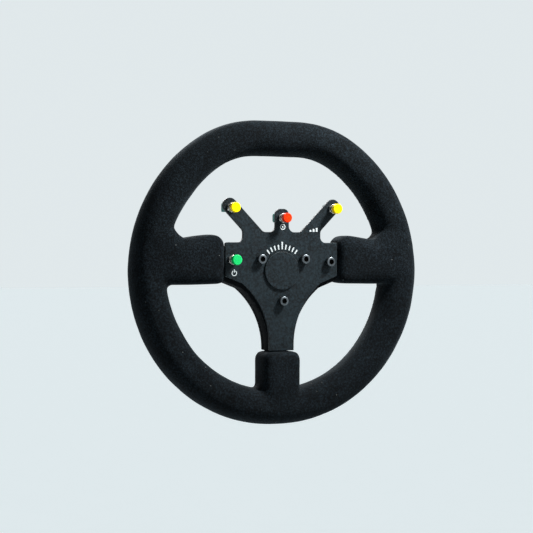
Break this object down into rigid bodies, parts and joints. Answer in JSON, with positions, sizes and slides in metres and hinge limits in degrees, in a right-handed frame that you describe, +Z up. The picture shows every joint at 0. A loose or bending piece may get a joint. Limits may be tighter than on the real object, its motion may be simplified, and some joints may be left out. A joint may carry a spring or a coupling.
{
  "type": "quick release steering wheel",
  "caption": "Flat-topped racing steering wheel with a suede rim, three padded spokes, push buttons on an anodised plate and a splined quick-release hub.",
  "frame": {"origin": "centre of the quick-release hub's rear mouth, on the steering axis", "axes": "+Y along the steering axis from the driver to the column, +X to the driver's right, +Z up"},
  "size_m": [0.2876, 0.066, 0.2781],
  "materials": {
    "suede": "brushed black suede",
    "anodised_black": "matt black anodised aluminium",
    "frame_black": "matt black coated aluminium",
    "housing_black": "matt black coating",
    "frame_aluminium": "satin machined aluminium",
    "black_steel": "black oxide steel",
    "spring_steel": "bright steel",
    "nickel": "polished nickel plate",
    "gold_contacts": "gold plate",
    "teal_plastic": "moulded teal plastic",
    "insert_plastic": "black moulded plastic",
    "yellow_plastic": "yellow moulded plastic",
    "orange_plastic": "red-orange moulded plastic",
    "green_plastic": "green moulded plastic"
  },
  "bodies": {
    "wheel": {"spoke_frame": "frame_black", "rim_grip": "suede", "left_spoke_pad": "suede", "right_spoke_pad": "suede", "lower_spoke_pad": "suede", "front_plate": "anodised_black", "switch_housing": "housing_black", "centre_cap": "anodised_black", "left_hub_bolt": "black_steel", "right_hub_bolt": "black_steel", "lower_hub_bolt": "black_steel", "plate_screw": "black_steel", "left_arm_bushing": "nickel", "left_arm_nut": "nickel", "left_arm_switch_body": "teal_plastic", "left_arm_return_spring": "spring_steel", "right_arm_bushing": "nickel", "right_arm_nut": "nickel", "right_arm_switch_body": "teal_plastic", "right_arm_return_spring": "spring_steel", "middle_arm_bushing": "nickel", "middle_arm_nut": "nickel", "middle_arm_switch_body": "teal_plastic", "middle_arm_return_spring": "spring_steel", "side_bushing": "nickel", "side_nut": "nickel", "side_switch_body": "teal_plastic", "side_return_spring": "spring_steel", "hub_flange": "frame_aluminium", "spline_sleeve": "spring_steel", "collar_spring": "spring_steel", "retaining_ring": "spring_steel", "connector_insert": "insert_plastic", "contact_pin_1": "gold_contacts", "contact_pin_2": "gold_contacts", "contact_pin_3": "gold_contacts", "contact_pin_4": "gold_contacts", "contact_pin_5": "gold_contacts", "contact_pin_6": "gold_contacts"},
    "left_arm_button": {"left_arm_button_cap": "yellow_plastic", "left_arm_plunger": "nickel"},
    "right_arm_button": {"right_arm_button_cap": "yellow_plastic", "right_arm_plunger": "nickel"},
    "middle_arm_button": {"middle_arm_button_cap": "orange_plastic", "middle_arm_plunger": "nickel"},
    "side_button": {"side_button_cap": "green_plastic", "side_plunger": "nickel"},
    "collar": {"release_collar": "anodised_black"},
    "ball_1": {"lock_ball_1": "spring_steel"},
    "ball_2": {"lock_ball_2": "spring_steel"},
    "ball_3": {"lock_ball_3": "spring_steel"},
    "ball_4": {"lock_ball_4": "spring_steel"},
    "ball_5": {"lock_ball_5": "spring_steel"},
    "ball_6": {"lock_ball_6": "spring_steel"}
  },
  "joints": [
    {"name": "left_arm_press", "type": "slide", "parent": "wheel", "child": "left_arm_button", "axis": [0, 1, 0], "range_m": [0, 0.002], "stiffness_N_per_m": 400, "springref_m": -0.002, "deforming": ["left_arm_return_spring"]},
    {"name": "right_arm_press", "type": "slide", "parent": "wheel", "child": "right_arm_button", "axis": [0, 1, 0], "range_m": [0, 0.002], "stiffness_N_per_m": 400, "springref_m": -0.002, "deforming": ["right_arm_return_spring"]},
    {"name": "middle_arm_press", "type": "slide", "parent": "wheel", "child": "middle_arm_button", "axis": [0, 1, 0], "range_m": [0, 0.002], "stiffness_N_per_m": 400, "springref_m": -0.002, "deforming": ["middle_arm_return_spring"]},
    {"name": "side_press", "type": "slide", "parent": "wheel", "child": "side_button", "axis": [0, 1, 0], "range_m": [0, 0.002], "stiffness_N_per_m": 400, "springref_m": -0.002, "deforming": ["side_return_spring"]},
    {"name": "collar_release", "type": "slide", "parent": "wheel", "child": "collar", "axis": [0, -1, 0], "range_m": [0, 0.006], "stiffness_N_per_m": 1500, "springref_m": -0.004, "deforming": ["collar_spring"]},
    {"name": "ball_1_out", "type": "slide", "parent": "wheel", "child": "ball_1", "axis": [1, 0, 0], "range_m": [0, 0.0016]},
    {"name": "ball_2_out", "type": "slide", "parent": "wheel", "child": "ball_2", "axis": [0.5, 0, -0.866], "range_m": [0, 0.0016]},
    {"name": "ball_3_out", "type": "slide", "parent": "wheel", "child": "ball_3", "axis": [-0.5, 0, -0.866], "range_m": [0, 0.0016]},
    {"name": "ball_4_out", "type": "slide", "parent": "wheel", "child": "ball_4", "axis": [-1, 0, 0], "range_m": [0, 0.0016]},
    {"name": "ball_5_out", "type": "slide", "parent": "wheel", "child": "ball_5", "axis": [-0.5, 0, 0.866], "range_m": [0, 0.0016]},
    {"name": "ball_6_out", "type": "slide", "parent": "wheel", "child": "ball_6", "axis": [0.5, 0, 0.866], "range_m": [0, 0.0016]}
  ],
  "couplings": [
    {"joint": "ball_1_out", "follows": "collar_release", "ratio": 0.26666},
    {"joint": "ball_2_out", "follows": "collar_release", "ratio": 0.26666},
    {"joint": "ball_3_out", "follows": "collar_release", "ratio": 0.26666},
    {"joint": "ball_4_out", "follows": "collar_release", "ratio": 0.26666},
    {"joint": "ball_5_out", "follows": "collar_release", "ratio": 0.26666},
    {"joint": "ball_6_out", "follows": "collar_release", "ratio": 0.26666}
  ]
}
